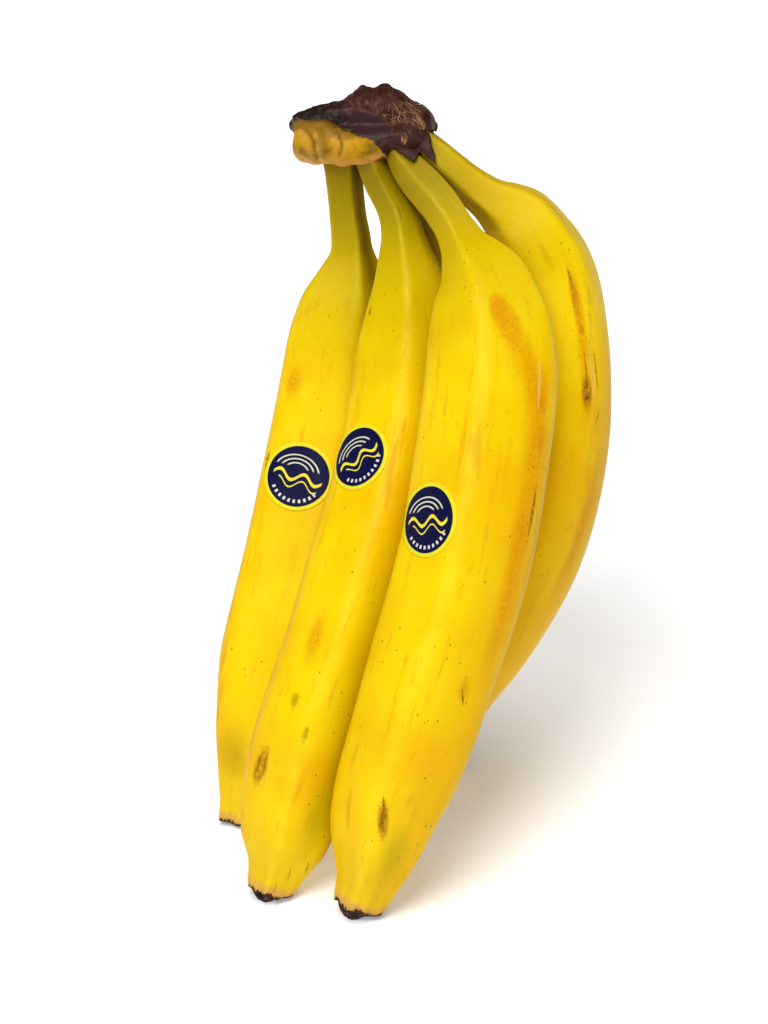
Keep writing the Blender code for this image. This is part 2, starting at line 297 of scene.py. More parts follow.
# %% The bananas' own values
FINGERS = {
    1: {
        "path": [
            (-13.5, 110.5, 24), (-12, 99.5, 27), (-11, 88.5, 30), (-10, 80.5, 33), (-11, 67, 38),
            (-14, 40, 44), (-19.5, 9.5, 44), (-26.5, -20.5, 41), (-33, -44.5, 40), (-38.5, -67.5, 43),
            (-42, -81, 48), (-44, -91, 52)],
        "radius": [
            (0, 6.4), (0.08, 5.7), (0.15, 6.3), (0.19, 9.8), (0.23, 13.8), (0.29, 16.6), (0.4, 17.8),
            (0.55, 18.2), (0.75, 17.2), (0.86, 13.6), (0.93, 9.6), (0.97, 7.4), (1, 6.2)],
        "sides": (-17, 57, 130, 200, -98),
    },
    2: {
        "path": [
            (-4.5, 110, 20), (0, 97.5, 21), (4.5, 87.5, 20), (6.5, 77.5, 19), (8.5, 62.5, 18),
            (8.5, 39, 17), (4, 9.5, 13), (-4, -17, 9), (-12.5, -43.5, 8), (-21, -66.5, 9),
            (-26, -84.5, 11), (-29.5, -99, 12), (-32.5, -109, 13)],
        "radius": [
            (0, 6.4), (0.08, 5.7), (0.13, 6.6), (0.18, 9.6), (0.23, 13.4), (0.32, 17.4), (0.45, 18.5),
            (0.65, 18.2), (0.8, 17.3), (0.89, 15.7), (0.94, 13.3), (0.975, 9.6), (1, 7.2)],
        "sides": (-45, 29, 99, 173, 243),
    },
    3: {
        "path": [
            (2.5, 109, 20), (8, 101, 16.5), (14, 93.5, 13), (19.5, 85.5, 9), (24, 76.5, 4), (28.5, 67, -1),
            (31, 54, -5), (31.5, 39.5, -9), (29.5, 20.5, -11), (26, -2.5, -12), (20.5, -25, -11),
            (13, -48.5, -9), (6, -70, -6), (0, -87.5, -3), (-3, -101, 0), (-6.5, -112, 3)],
        "radius": [
            (0, 6.4), (0.07, 6.2), (0.13, 6.0), (0.165, 6.8), (0.2, 10.2), (0.24, 14.4), (0.3, 17.8),
            (0.38, 19.2), (0.6, 19.4), (0.75, 19.1), (0.83, 18.0), (0.9, 15.4), (0.96, 10.9), (1, 7.4)],
        "sides": (-48, 24, 97, 168, 238),
    },
    4: {
        "path": [
            (9, 109, 20), (16.5, 103.5, 18), (24, 97.5, 17), (32, 91.6, 17), (39, 86.3, 17.5),
            (43.5, 79.5, 18), (47, 73, 20), (50, 55.5, 22), (50.5, 33, 23), (48.5, 12.5, 24),
            (44, -5.5, 26), (37, -22, 28), (29.5, -36, 30), (22, -49, 32), (17, -64, 36),
            (14.5, -77.5, 41)],
        "radius": [
            (0, 6.4), (0.08, 5.9), (0.125, 6.8), (0.15, 8.8), (0.18, 11.8), (0.21, 13.4), (0.26, 15.2),
            (0.32, 16.6), (0.4, 17.5), (0.5, 18.0), (0.65, 18.0), (0.8, 16.0), (0.9, 12.5), (0.96, 9.0),
            (1, 7.0)],
        "sides": (5, 77, 147, 221, -67),
    },
    5: {
        "path": [
            (4, 111.5, 32), (7, 104, 33), (11, 92.5, 37), (14, 79, 43), (17, 61.5, 50), (19, 34, 54),
            (18.5, 3.5, 57), (17.5, -27, 63), (18.5, -56, 73), (19.5, -76.5, 84)],
        "radius": [
            (0, 6.2), (0.14, 6.2), (0.2, 8.0), (0.27, 12.4), (0.36, 16.2), (0.5, 17.6), (0.7, 17.2),
            (0.83, 14.7), (0.92, 10.7), (1, 7.0)],
        "sides": (30, 102, 174, 246, -42),
    },
}
# How sharp the ridges are along a banana, and how much of that each banana has.
RIDGE_SHARPNESS = [(0, 22), (0.22, 16), (0.38, 7), (0.8, 7), (1, 12)]
RIDGE_SHARE = {1: 0.9, 2: 0.9, 3: 0.9, 4: 0.45, 5: 0.8}
RIDGE_ANGLE = 0.12
LINE_SAMPLES = 160
SKIN_RADIUS = 17  # a banana's usual radius, for the fields of its relief
SKIN_INSET = 0.6  # the fine skin lies a little inside the plain solid
TOUCH_GAP = 0.25  # between bananas that lean on each other
PRESS_HARDNESS = 10
HALVINGS = 11
print("bananas:", sorted(FINGERS))

# %% [markdown]
# ## The shape of one banana
# The reach of the skin from the middle line is a sum of simple things: the five-sided section, the press
# of the neighbours, slow swells, small bumps on the ridges, and fine pleats at the neck and the tip. As a
# formula it also tells where a sticker on it has to lie.

# %% The banana's surface
# The mean reach of a section of each sharpness, so that a radius means the same for all of them.
TRIAL_SHARPNESS = np.linspace(3, 24, 43)
TRIAL_SIDES = np.cos(np.linspace(0, math.pi / 5, 60) - np.radians([[0], [72], [-72]]))
SECTION_MEAN = np.array([(np.maximum(TRIAL_SIDES, 0) ** n).sum(axis=0) ** (-1 / n)
                         for n in TRIAL_SHARPNESS]).mean(axis=1)


class Finger:
    """One banana's middle line, thickness and skin. A share is how far along it a place lies, 0 to 1."""

    def __init__(self, number):
        spec = FINGERS[number]
        self.number = number
        self.sides = np.radians(spec["sides"])
        self.along = np.linspace(0, 1, LINE_SAMPLES)
        self.line = natural_spline(spec["path"], LINE_SAMPLES)
        self.length = float(run_along(self.line)[-1])
        self.radius = smooth_keys(self.along, spec["radius"])
        self.tangent = unit(np.gradient(self.line, axis=0))
        front = np.array([0.0, 0.0, -1.0])
        self.front = unit(front - (self.tangent @ front)[:, None] * self.tangent)
        self.right = np.cross(self.tangent, self.front)
        self.neighbours = []

    def at(self, share, values):
        """What lies at shares along the banana, of the values at its samples."""
        return np.stack([np.interp(share, self.along, column) for column in values.T], axis=-1)

    def squares(self, points):
        """Squared distances from each point to every sample of the middle line."""
        flat = points.reshape(-1, 3)
        square = ((flat ** 2).sum(axis=1)[:, None] - 2 * flat @ self.line.T
                  + (self.line ** 2).sum(axis=1))
        return np.maximum(square, 0)

    def nearness(self, points):
        """Distance to the middle line as a share of the radius there."""
        nearest = np.min(self.squares(points) / self.radius ** 2, axis=1)
        return np.sqrt(nearest).reshape(points.shape[:-1])

    def gap_to(self, points):
        """Distance in millimetres from points to this banana, taken as round."""
        away = np.sqrt(self.squares(points)) - self.radius
        return np.min(away, axis=1).reshape(points.shape[:-1])

    def free_reach(self, middle, way, most):
        """How far a point may go from the middle line before a neighbour is nearer than this banana."""
        room = TOUCH_GAP / 2 / most

        def crowded(reach):
            points = middle + way * reach[..., None]
            own = self.nearness(points) + room
            return np.any([own >= n.nearness(points) - room for n in self.neighbours], axis=0)

        free = most * 1.5
        tight = crowded(free)
        middle, way, room = middle[tight], way[tight], room[tight]
        low, high = np.zeros(len(middle)), free[tight]
        for _ in range(HALVINGS):
            mid = (low + high) / 2
            full = crowded(mid)
            low, high = np.where(full, low, mid), np.where(full, mid, high)
        free[tight] = low
        return free

    def ridge(self, angle):
        """1 on the five ridges between the flat sides, 0 away from them."""
        order = np.sort(self.sides % (2 * math.pi))
        middles = (order + np.append(order[1:], order[0] + 2 * math.pi)) / 2
        away = np.abs((angle[..., None] - middles + math.pi) % (2 * math.pi) - math.pi)
        return np.exp(-(np.min(away, axis=-1) / RIDGE_ANGLE) ** 2)

    def relief(self, share, angle):
        """Fine height of the skin in millimetres."""
        run = share * self.length
        seed = 10 * self.number
        ring = np.stack([SKIN_RADIUS * np.sin(angle), SKIN_RADIUS * np.cos(angle), run * 0.45], axis=-1)
        slow = 0.32 * uneven(ring, 46, seed) + 0.12 * uneven(ring, 17, seed + 1)
        bumps = self.ridge(angle) * 0.12 * uneven(ring * (1, 1, 2.2), 8, seed + 2)
        neck = ease(share, 0.24, 0.05)
        pleats = neck * 0.05 * uneven(ring * (1.4, 1.4, 0.25), 7, seed + 3)
        tip = ease(share, 0.93, 1.0)
        folds = tip * 0.4 * uneven(ring * (1, 1, 0.3), 10, seed + 4)
        return slow + bumps + pleats + folds - SKIN_INSET

    def surface(self, share, angle):
        """Places on the skin, at shares along the banana and angles round it."""
        sharpness = smooth_keys(share, RIDGE_SHARPNESS) * RIDGE_SHARE[self.number]
        facing = np.maximum(np.cos(angle[..., None] - self.sides), 0)
        reach = np.sum(facing ** sharpness[..., None], axis=-1) ** (-1 / sharpness)
        reach = reach / np.interp(sharpness, TRIAL_SHARPNESS, SECTION_MEAN)
        reach = reach * np.interp(share, self.along, self.radius)
        middle = self.at(share, self.line)
        way = (np.cos(angle)[..., None] * self.at(share, self.front)
               + np.sin(angle)[..., None] * self.at(share, self.right))
        free = np.maximum(self.free_reach(middle, way, reach), 0.5)
        pressed = (reach ** -PRESS_HARDNESS + free ** -PRESS_HARDNESS) ** (-1 / PRESS_HARDNESS)
        pressed = pressed + self.relief(share, angle) * np.clip(pressed / reach, 0, 1) ** 4
        return middle + way * pressed[..., None]

    def outward(self, share, angle):
        """The way straight out of the skin."""
        small = 0.004
        along = self.surface(share + small, angle) - self.surface(share - small, angle)
        around = self.surface(share, angle + 4 * small) - self.surface(share, angle - 4 * small)
        return unit(np.cross(around, along))

    def patch(self, share, angle, along, around):
        """Shares and angles of places at given distances along the skin and round it from one place."""
        turn = np.linspace(-1.4, 1.4, 141)
        ring = self.surface(np.full(len(turn), share), angle + turn)
        run = run_along(ring)
        run -= run[len(turn) // 2]
        return share + along / self.length, angle + np.interp(around, run, turn)


fingers = {number: Finger(number) for number in FINGERS}
for finger in fingers.values():
    finger.neighbours = [other for other in fingers.values() if other is not finger]
    print("banana", finger.number, "is", round(finger.length), "mm long on its middle line")

# %% [markdown]
# ## From points to a piece
# Rings of points become a closed skin of four-sided faces. Each piece also carries numbers on its points,
# which its finish reads: for a banana, where a point lies on the straightened fruit, so marks run along it.

# %% Make a piece
def make_piece(name, points, faces, material, stands_for, numbers=None):
    """A piece drawn in the leaning frame, stood up. It may stand for one of the solid nodes."""
    mesh = bpy.data.meshes.new(name)
    mesh.from_pydata(stand(points).tolist(), [], faces)
    mesh.validate()
    bm = bmesh.new()
    bm.from_mesh(mesh)
    bmesh.ops.recalc_face_normals(bm, faces=bm.faces[:])
    bm.to_mesh(mesh)
    bm.free()
    mesh.materials.append(material)
    mesh.shade_smooth()
    for title, values in (numbers or {}).items():
        vector = np.ndim(values) == 2
        kept = mesh.attributes.new(title, "FLOAT_VECTOR" if vector else "FLOAT", "POINT")
        kept.data.foreach_set("vector" if vector else "value", np.asarray(values, np.float32).ravel())
    thing = bpy.data.objects.new(name, mesh)
    scene.collection.objects.link(thing)
    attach(thing, "root")
    if stands_for:
        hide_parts(stands_for)
    print(name, "has", len(faces), "faces")


def round_ring(count):
    """Angles evenly spaced round a ring."""
    return np.linspace(0, 2 * math.pi, count, endpoint=False)


def ring_faces(count, sides, first=0):
    """Four-sided faces between rings of points."""
    faces = []
    for i in range(count - 1):
        for j in range(sides):
            k = (j + 1) % sides
            a, b = first + i * sides, first + (i + 1) * sides
            faces.append((a + j, b + j, b + k, a + k))
    return faces


def tube_faces(count, sides, first=0):
    """The faces between the rings, and a lid on each end."""
    last = first + (count - 1) * sides
    lids = tuple(range(first, first + sides)), tuple(reversed(range(last, last + sides)))
    return [lids[0], *ring_faces(count, sides, first), lids[1]]


# %% [markdown]
# ## The finish of the peel
# Ripe peel is a warm yellow that turns green towards the neck and a little near the tip. It has tiny dark
# specks, faint streaks along the ridges, and scars where the fruit rubbed. A mark is given by its place
# on the banana, its length along it and its width round it. A painted image could hold the marks too, but
# drawn ones stay sharp from near by.

# %% The peel's marks
# Each mark: kind, share along the banana, degrees round it, length and width in mm, turn in degrees. Marks
# of the shade kind are painted shade on the necks, where neighbours keep the light off.
MARKS = {
    1: [("shade", 0.13, 58, 66, 20, 0), ("brown", 0.2, -68, 12, 1.0, 8),
        ("brown", 0.235, -60, 8, 0.7, -10), ("orange", 0.36, -44, 16, 7, 0),
        ("brown", 0.49, -56, 7, 1.6, 0), ("green", 0.9, -30, 26, 22, 0),
        ("orange", 0.12, -50, 9, 1.5, 0), ("orange", 0.27, -62, 30, 2.5, 0),
        ("orange", 0.6, 100, 26, 6, 6), ("brown", 0.4, 160, 14, 2, 8), ("orange", 0.5, -66, 90, 3, 0),
        ("specks", 0.3, -30, 50, 26, 0), ("brown", 0.31, -66, 9, 0.8, 6)],
    2: [("shade", 0.12, 66, 50, 18, 0), ("scar", 0.85, -53, 14, 7, -12),
        ("smudge", 0.791, -7.5, 7, 2.6, 0), ("brown", 0.23, -72, 4, 1.2, 0),
        ("brown", 0.992, 8, 4.5, 0.7, 25), ("brown", 0.975, 26, 5, 0.6, 30),
        ("brown", 0.962, 50, 5, 0.8, 35), ("brown", 0.109, 4.5, 6, 0.9, -12),
        ("green", 0.9, 34, 30, 16, 0), ("orange", 0.03, 2, 3, 9, 0), ("smudge", 0.76, -32, 6, 5, 0),
        ("orange", 0.68, -34, 22, 9, 0), ("orange", 0.5, 150, 30, 6, 0)],
    3: [("patch", 0.283, 7, 12, 7, -6), ("patch", 0.3, 14, 19, 10, 14), ("faint", 0.335, 24, 30, 11, 14),
        ("orange", 0.36, 36, 26, 8, 10), ("orange", 0.43, 46, 56, 11, 0), ("orange", 0.6, 47, 64, 8, 0),
        ("specks", 0.32, 24, 30, 16, 0), ("specks", 0.46, 48, 60, 10, 0),
        ("orange", 0.375, 47, 16, 5, 0), ("pale", 0.362, 43, 13, 0.9, 0), ("orange", 0.53, 43, 34, 7, 0),
        ("orange", 0.42, 50, 12, 4, 0), ("scar", 0.883, 0, 14, 4.4, 16),
        ("brown", 0.862, -4.5, 5, 1.0, 20), ("orange", 0.708, 33, 9, 5, 10),
        ("brown", 0.716, 34, 6, 0.8, 22), ("green", 0.925, 24, 24, 15, 0),
        ("specks", 0.41, -46, 14, 20, 0), ("brown", 0.5, 52, 16, 1.0, 0),
        ("orange", 0.885, -46, 16, 3, 6), ("specks", 0.78, -46, 26, 8, 0),
        ("orange", 0.45, 170, 34, 7, 0), ("brown", 0.6, 210, 12, 1.5, 6)],
    4: [("brown", 0.3, 24, 14, 2.8, 2), ("brown", 0.272, 23, 9, 1.2, 0), ("orange", 0.31, 25, 24, 4, 2),
        ("brown", 0.345, 28, 4, 1.6, 10), ("pale", 0.405, 37, 18, 1.1, 4),
        ("orange", 0.43, 31, 20, 6, 2), ("orange", 0.35, 28, 60, 5, 2), ("brown", 0.428, 31, 10, 4.2, 0),
        ("brown", 0.395, 30, 12, 0.6, 4), ("brown", 0.4, 43, 14, 0.7, 6),
        ("brown", 0.46, 45, 5, 0.6, -12), ("specks", 0.36, 30, 60, 16, 0),
        ("orange", 0.19, 60, 22, 4, 0), ("orange", 0.6, 50, 50, 8, 0), ("brown", 0.55, 120, 16, 2.2, -6)],
    5: [("shade", 0.17, -20, 70, 40, 0), ("orange", 0.4, 90, 30, 7, 0), ("brown", 0.5, 150, 12, 2, 6),
        ("scar", 0.7, 170, 13, 5, 0), ("specks", 0.45, 130, 60, 30, 0), ("green", 0.92, 180, 24, 26, 0)],
}
GIRTH_RADIUS = 17.5  # turns degrees round a banana into millimetres
NECK_GREEN_AND_SHADE = {1: 0.95, 2: 0.95, 3: 0.75, 4: 0.4, 5: 0.95}  # how green each neck is, and how much painted shade from the crown darkens its top
ORANGE_AND_SHADED_SIDE = {1: 250, 2: 230, 3: 75, 4: 75, 5: 180}  # the side painted darker orange, partly the peel's own colour and partly painted shade, in degrees
# Colours of the marks: the peel's own stains and scars, and for the shade kind painted shade.
STAIN_AND_SHADE = {"patch": ("E69C00", 0.9), "faint": ("E8A400", 0.5), "shade": ("7A6000", 0.8),
         "orange": ("DC9200", 0.85), "brown": ("86520C", 0.8), "scar": ("B87A08", 0.85),
         # The green marks near the tips are dark olive: partly the peel's own green, partly painted shade
         # on sides that face down.
         "green": ("B2A000", 0.55), "smudge": ("8A7A10", 0.6), "pale": ("E8BE6A", 0.75)}
CORE = {"scar": "7A4806", "brown": "452006"}  # the darker middle of a worn mark
SMOOTH_EDGED = ("green", "shade", "faint")
CRISP = ("scar", "brown", "pale", "patch")
MOTTLED = ("patch", "orange", "scar", "brown")
print("marks on the peel:", sum(len(m) for m in MARKS.values()))

# %% [markdown]
# One banana's finish lays coats of colour over a warm yellow: broad clouds, streaks, the neck, a more
# orange side, painted shade between bananas, a painted highlight on the ridges, its marks in turn, specks,
# and last the tan and dark edge at the tip. The neck's darker top and the orange side are partly painted
# shade, and so are some marks.
# Worn places are rougher and a little sunken.

# %% The finish of one banana
def peel_finish(finger):
    peel = Finish(f"peel_{finger.number}", 0.42, Specular_IOR_Level=0.09)
    straight = peel.attribute("straight", vector=True)
    ridge, nook_shade = peel.attribute("ridge"), peel.attribute("nook_shade")
    side, face, run = peel.parts(straight)
    angle = side.turn_from(face)
    share = run / finger.length
    broad = peel.noise(straight, 0.03, 2)
    cloudy = peel.noise(straight, 0.11, 4, 0.6)
    streaks = peel.noise(peel.stretch(straight, (1, 1, 0.12)), 0.35, 5, 0.65)
    ragged = peel.noise(straight, 0.9, 4, 0.65)
    neck = share.ease(0.42, 0.12) * NECK_GREEN_AND_SHADE[finger.number]
    orange_and_shaded_side = (angle - math.radians(ORANGE_AND_SHADED_SIDE[finger.number])).wave("COSINE").ease(0.2, 0.95)
    ridge_wear = ridge * streaks.ease(0.5, 0.66) * share.ease(0.2, 0.3)
    skin = peel.paint(
        colour("FFD800"),
        ("F5B400", broad.ease(0.35, 0.7) * 0.6),
        ("FFE21E", cloudy.ease(0.5, 0.75) * 0.5),
        ("E9A504", streaks.ease(0.54, 0.72) * 0.42),
        ("D99A06", (cloudy * streaks).ease(0.3, 0.42) * 0.3),
        ("D2B600", neck),
        # darker olive at the neck's top: partly the peel's own colour, partly painted shade under the crown
        ("967F00", share.ease(0.22, 0.02) * neck),
        # painted shade, partly the peel's own orange: a darker orange side that turns from the light
        ("E09A00", orange_and_shaded_side * share.ease(0.3, 0.5) * 0.5),
        # painted shade where bananas lie close together, stronger on the neck
        ("8E7800", nook_shade * (0.35 + neck * 0.55)),
        ("CDB50C", share.ease(0.9, 0.985) * 0.35),
        # painted highlight along the ridges
        ("FFE23A", ridge * cloudy.ease(0.3, 0.6) * 0.2),
        ("C98708", ridge_wear * 0.3))

    dense, worn = [], []
    for kind, place, degrees, long, wide, turn in MARKS[finger.number]:
        x = run - place * finger.length
        y = (angle - math.radians(degrees)) * GIRTH_RADIUS
        c, s = math.cos(math.radians(turn)), math.sin(math.radians(turn))
        u = (x * c + y * s) * (2 / long)
        v = (y * c - x * s) * (2 / wide)
        rough = 0.3 if kind in SMOOTH_EDGED else 1.4
        far = (u * u + v * v) ** 0.5 + (ragged - 0.5) * rough
        if kind == "specks":
            dense.append(far.ease(1.1, 0.3))
            continue
        mark = far.ease(1.05, 0.6 if kind in CRISP else 0.15)
        if kind in MOTTLED:
            mark = mark * (0.35 + ragged.ease(0.35, 0.6) * 0.65)
        mark_colour, strength = STAIN_AND_SHADE[kind]
        skin = peel.paint(skin, (mark_colour, mark * strength))
        if kind in CORE:
            worn.append(mark)
            core = far.ease(0.8, 0.3) * (streaks if kind == "scar" else ragged).ease(0.5, 0.6)
            skin = peel.paint(skin, (CORE[kind], core * 0.8))
    wear = reduce(Wire.most, worn)

    chance = peel.noise(straight, 0.07, 2).ease(0.5, 0.66)
    lenticels = peel.cells(peel.stretch(straight, (1, 1, 0.8)), 0.42).ease(0.17, 0.07) * chance
    if dense:
        crowd = peel.cells(straight, 0.85).ease(0.2, 0.08)
        lenticels = lenticels.most(crowd * reduce(Wire.most, dense) * cloudy.ease(0.35, 0.5))
    tan = (run + (ragged - 0.5) * 4).ease(finger.length - 3.2, finger.length - 0.8)
    ending = (run + (ragged - 0.5) * 3).ease(finger.length - 1.1, finger.length - 0.4)
    peel.feed("Base Color", peel.paint(
        skin,
        ("6E4408", lenticels * 0.75),
        ("C8905C", tan * 0.65),
        ("2A1410", ending * 0.95),
        ("8A6A14", share.ease(0.045, 0.015) * 0.6)))
    peel.feed("Roughness", 0.4 + cloudy * 0.12 + ending * 0.35 + wear * 0.25)
    grain = peel.noise(peel.stretch(straight, (1, 1, 0.35)), 1.6, 4, 0.6)
    height = grain * 0.5 + cloudy * 0.6 - lenticels * 0.2 - wear * (0.5 + ragged * 0.6)
    peel.bump(height, 0.16, 0.8)
    return peel.material


peels = {finger.number: peel_finish(finger) for finger in fingers.values()}
print("nodes in the front banana's finish:", len(peels[3].node_tree.nodes))

# %% [markdown]
# ## The bananas
# The rings lie closer together at the neck and the tip, where the shape changes fast. The last rings close
# the peel inside the dried blossom end, so no open edge shows.

# %% Build the bananas
RINGS = 240
SIDES = 120
PEEL_EXTRA = 3.0  # how far the fresh peel's edge hangs over the dried end
SHADE_REACH = 6.0  # how far from a neighbour the painted shade between bananas reaches


def ring_shares(count):
    """Shares along a banana, closer together at the neck and the tip."""
    u = np.linspace(0, 1, count)
    return u - 0.07 * np.sin(2 * math.pi * u)


def build_banana(finger):
    share, angle = np.meshgrid(ring_shares(RINGS), round_ring(SIDES), indexing="ij")
    rings = finger.surface(share, angle)
    jag = uneven(rings, 5, 77 + finger.number)
    longer = np.minimum(PEEL_EXTRA, floor_height(rings[-1]) * 0.6)
    rings = rings + (ease(share, 0.975, 1) * (longer + 0.6 * jag))[..., None] * finger.tangent[-1]
    end, middle = rings[-1], rings[-1].mean(axis=0)
    closing = [middle + (end - middle) * scale - finger.tangent[-1] * drop
               for scale, drop in ((0.93, -0.1), (0.8, 0.2), (0.5, 0.5), (0.1, 0.6))]
    points = np.concatenate([rings, np.stack(closing)])
    reach = np.linalg.norm(rings - finger.at(share, finger.line), axis=-1)
    straight = np.stack([reach * np.sin(angle), reach * np.cos(angle), share * finger.length], axis=-1)
    # nearness to the other bananas, for the painted shade between them
    apart = np.min([other.gap_to(points) for other in finger.neighbours], axis=0)
    numbers = {"straight": np.concatenate([straight] + [straight[-1:]] * len(closing)).reshape(-1, 3),
               "ridge": np.resize(finger.ridge(angle), apart.size),
               "nook_shade": np.exp(-np.maximum(apart, 0) / SHADE_REACH).ravel()}
    make_piece(f"peel_{finger.number}", points.reshape(-1, 3), tube_faces(len(points), SIDES),
               peels[finger.number], f"banana_{finger.number}", numbers)


for finger in fingers.values():
    build_banana(finger)

# %% [markdown]
# ## The dried blossom ends
# At the tip the flower has dried to a short, crumpled, nearly black stub with a ragged edge. It is a bowl
# of rings from the banana's end down to its foot, dented by creased fields. Rings are used so that it fits
# the banana's own end.

# %% Build the blossom ends
HANGING = 4  # this banana's end hangs free, the others stand on the floor
HANG = 5.0  # how far that end reaches, in millimetres
FOOT_RADIUS = 4.6
FOOT_LIFT = 0.02  # the least height over the floor
END_RINGS = 30
END_SIDES = 84


def dried_finish():
    """Nearly black, with painted highlights as paler flecks on what stands out."""
    dried = Finish("dried_tip", 0.75, Specular_IOR_Level=0.3)
    place = dried.node("TexCoord", output=3)
    coarse = dried.noise(place, 420, 4, 0.65)
    fine = dried.noise(place, 1500, 3, 0.6)
    dried.feed("Base Color", dried.paint(
        colour("20120E"),
        ("5C3A2A", coarse.ease(0.42, 0.7)),
        # painted highlights: paler flecks on the raised bits
        ("A07C62", (coarse * fine).ease(0.32, 0.46) * 0.6)))
    dried.feed("Roughness", 0.55 + fine * 0.4)
    dried.bump(coarse + fine * 0.4, 0.5)
    return dried.material


def build_end(finger, material):
    rim = finger.surface(np.ones(END_SIDES), round_ring(END_SIDES))
    middle, tangent = rim.mean(axis=0), finger.tangent[-1]
    spread = rim - middle
    down = floor_height(middle) - floor_height(middle + tangent)
    depth = np.full(END_SIDES, HANG)
    if finger.number != HANGING:
        foot = middle + unit(spread) * FOOT_RADIUS
        depth = floor_height(foot) / down
    rings = []
    for t in np.linspace(0, 1, END_RINGS):
        width = 0.97 - 0.27 * t - 0.22 * t ** 4
        rings.append(middle + spread * width + tangent * (depth * t - 0.5)[:, None])
    foot = rings[-1]
    for scale in (0.7, 0.35, 0.05):
        rings.append(foot.mean(axis=0) + (foot - foot.mean(axis=0)) * scale)
    rings = np.stack(rings)
    t = np.minimum(np.linspace(0, 1, len(rings)) * len(rings) / END_RINGS, 1)[:, None]
    seed = 200 + finger.number
    dent = (0.9 * (creased(rings, 9, seed) - 0.55) + 0.45 * (creased(rings, 4, seed + 9) - 0.5)
            + 0.15 * uneven(rings, 1.6, seed + 20))
    rings = rings + unit(spread) * (dent * (0.35 + 0.65 * np.sin(np.pi * np.clip(t, 0, 0.9))))[..., None]
    lift = uneven(rings, 6, seed + 30) * 0.8 * (1 - t) - (1 - t) * 0.2
    rings = rings - tangent * lift[..., None]
    sunk = np.maximum(FOOT_LIFT - floor_height(rings), 0)
    rings = rings - tangent * (sunk / down)[..., None]
    make_piece(f"dried_end_{finger.number}", rings.reshape(-1, 3), tube_faces(len(rings), END_SIDES),
               material, f"blossom_end_{finger.number}")


dried = dried_finish()
for finger in fingers.values():
    build_end(finger, dried)

# %% [markdown]
# ## The crown
# The crown is what is left of the bunch's stem. In front, at the lower left, lies bare amber tissue in
# three soft lobes with paler rims. Over it lies dried skin: black and crumpled on the left, a smooth purple
# brown strap in the middle, and a red brown hump with torn fibres on the right.
# The body is a smooth union of lumps, cast from one middle point, then dented by fields and masks.
# Metaballs would join lumps as well, but casting gives an even skin that the masks can be drawn on.

# %% The crown's body
CROWN_MIDDLE = np.array((-3.5, 112.0, 24.0))
CROWN_LUMPS = [
    ((-24.3, 108.8, 22), (3.8, 5.4, 6.5)),
    ((-17.4, 108.6, 19), (5.8, 6.0, 8.0)),
    ((-6.4, 107.6, 17.5), (7.6, 5.9, 8.5)),
    ((-21, 114.5, 23), (6.5, 4.4, 8.0)),
    ((-14, 116, 25), (8.5, 5.6, 11.0)),
    ((-5.5, 118.3, 26), (8.3, 8.6, 12.5)),
    ((1, 118.5, 25), (8.3, 8.8, 13.0)),
    ((9, 113.5, 23), (6.0, 7.3, 10.0)),
    ((4, 110, 19.5), (9.0, 4.6, 10.0)),
    ((3, 109.5, 32.5), (10.5, 7.3, 8.5)),
    ((-21.3, 108.3, 20.5), (3.6, 5.9, 6.6)),
    ((-12.6, 107.6, 18.4), (4.6, 5.9, 7.6)),
    ((-2, 107.6, 18), (4.5, 4.6, 7.6)),
]
LUMP_HARDNESS = 3.2
CROWN_REACH = 32.0
CROWN_INSET = 0.35
# The lower edge of the dried skin over the bare tissue, as (across, up).
SKIN_EDGE = [(-32, 115.4), (-26.8, 115.7), (-17.5, 115.4), (-14.9, 114.3), (-11.2, 112.2),
             (-6.4, 109.5), (-3.0, 108.3), (0.6, 104.9), (2.5, 90)]
# The lower outline of the bare tissue, and the creases between its lobes.
LOBE_FOOT = [(-32, 106), (-27, 104.5), (-25.6, 103), (-22.6, 101.8), (-20.4, 101.6), (-16.1, 101.2),
             (-11.2, 100.8), (-6.4, 101.2), (-2.7, 102.4), (0, 103.8)]
CREASES = [[(-24.7, 113.1), (-22.9, 111.3), (-21.8, 108.8), (-21.5, 106.4), (-20.7, 103.6)],
           [(-16.1, 113.7), (-14.6, 111.3), (-13.1, 108.8), (-12.8, 106.7), (-13.7, 104.2)]]
# The upper edge of the smooth strap.
STRAP_TOP = [(-16, 117.5), (-10, 118.7), (-5.1, 117.4), (-0.2, 115.8), (2.5, 113), (3.8, 105)]


def crown_field(points):
    """Over 1 inside the lumps, under 1 outside."""
    total = np.zeros(points.shape[:-1])
    for middle, half in CROWN_LUMPS:
        away = np.sum(((points - middle) / half) ** 2, axis=-1)
        total += np.exp(-LUMP_HARDNESS * (away - 1))
    return total


def crown_reach(ways):
    """Distance from the crown's middle to its surface."""
    steps = np.linspace(0, CROWN_REACH, 81)
    inside = crown_field(CROWN_MIDDLE + ways[:, None, :] * steps[None, :, None]) > 1
    last = len(steps) - 1 - np.argmax(inside[:, ::-1], axis=1)
    low, high = steps[last], steps[last] + steps[1]
    for _ in range(12):
        mid = (low + high) / 2
        within = crown_field(CROWN_MIDDLE + ways * mid[:, None]) > 1
        low, high = np.where(within, mid, low), np.where(within, high, mid)
    return low


def key_line(x, keys):
    """The height of a drawn line at x."""
    return np.interp(x, *np.array(keys, float).T)


def line_distance(points, line):
    """Distance from points (across, up) to a drawn line."""
    best = np.full(len(points), 1e9)
    for a, b in zip(np.array(line[:-1], float), np.array(line[1:], float)):
        along = np.clip(((points - a) @ (b - a)) / np.sum((b - a) ** 2), 0, 1)
        best = np.minimum(best, np.linalg.norm(points - a - along[:, None] * (b - a), axis=1))
    return best


